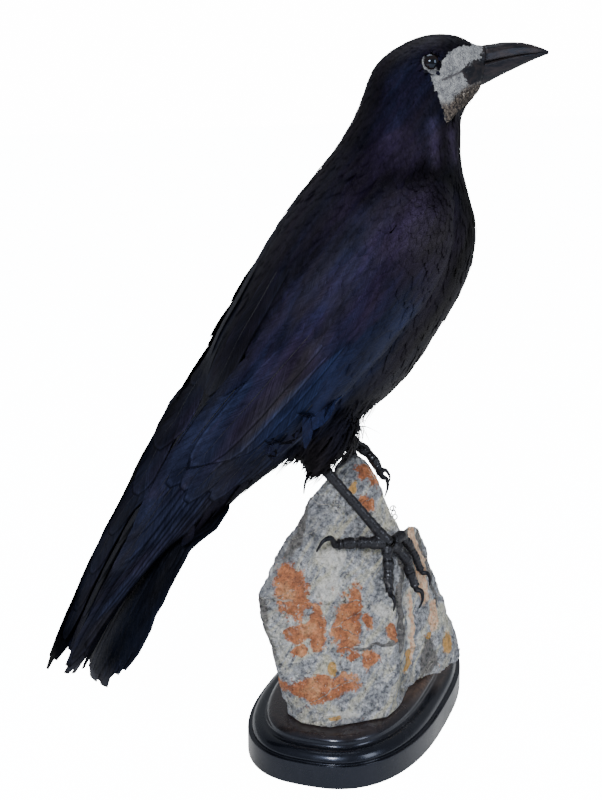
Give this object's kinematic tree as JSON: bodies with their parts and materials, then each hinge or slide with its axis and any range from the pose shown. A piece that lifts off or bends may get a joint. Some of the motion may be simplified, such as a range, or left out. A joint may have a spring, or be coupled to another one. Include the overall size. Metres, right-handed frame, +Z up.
{
  "type": "mounted rook specimen",
  "caption": "Life-size taxidermy rook standing head-up on a rough stone fixed to an oval moulded wooden base.",
  "frame": {"origin": "middle of the base's underside, on the floor", "axes": "+Z up; +X the way the bird's bill and breast point; the bird's middle plane is y = 0; +Y is the bird's left"},
  "size_m": [0.2813, 0.1624, 0.3764],
  "materials": {
    "lacquered_wood": "black lacquer, semi-gloss, worn brown on the moulding",
    "ore_stone": "rough grey ore with rust-orange patches",
    "plumage": "black contour feathers with a blue-violet sheen",
    "flight_feather": "black flight feathers, duller than the body",
    "horn": "dark horn, satin",
    "leg_scale": "black scaled skin, satin",
    "glass_eye": "dark brown glass eye, polished"
  },
  "bodies": {
    "root": {"base": "lacquered_wood", "stone": "ore_stone", "head": "plumage", "neck": "plumage", "trunk": "plumage", "bill_upper": "horn", "bill_lower": "horn", "tail": "flight_feather", "eye_right": "glass_eye", "eye_left": "glass_eye", "wing_right": "flight_feather", "wing_left": "flight_feather", "thigh_right": "plumage", "thigh_left": "plumage", "tarsus_right": "leg_scale", "tarsus_left": "leg_scale", "right_hallux": "leg_scale", "right_hallux_claw": "horn", "right_toe_inner": "leg_scale", "right_toe_inner_claw": "horn", "right_toe_middle": "leg_scale", "right_toe_middle_claw": "horn", "right_toe_outer": "leg_scale", "right_toe_outer_claw": "horn", "left_hallux": "leg_scale", "left_hallux_claw": "horn", "left_toe_inner": "leg_scale", "left_toe_inner_claw": "horn", "left_toe_middle": "leg_scale", "left_toe_middle_claw": "horn", "left_toe_outer": "leg_scale", "left_toe_outer_claw": "horn"}
  },
  "joints": []
}
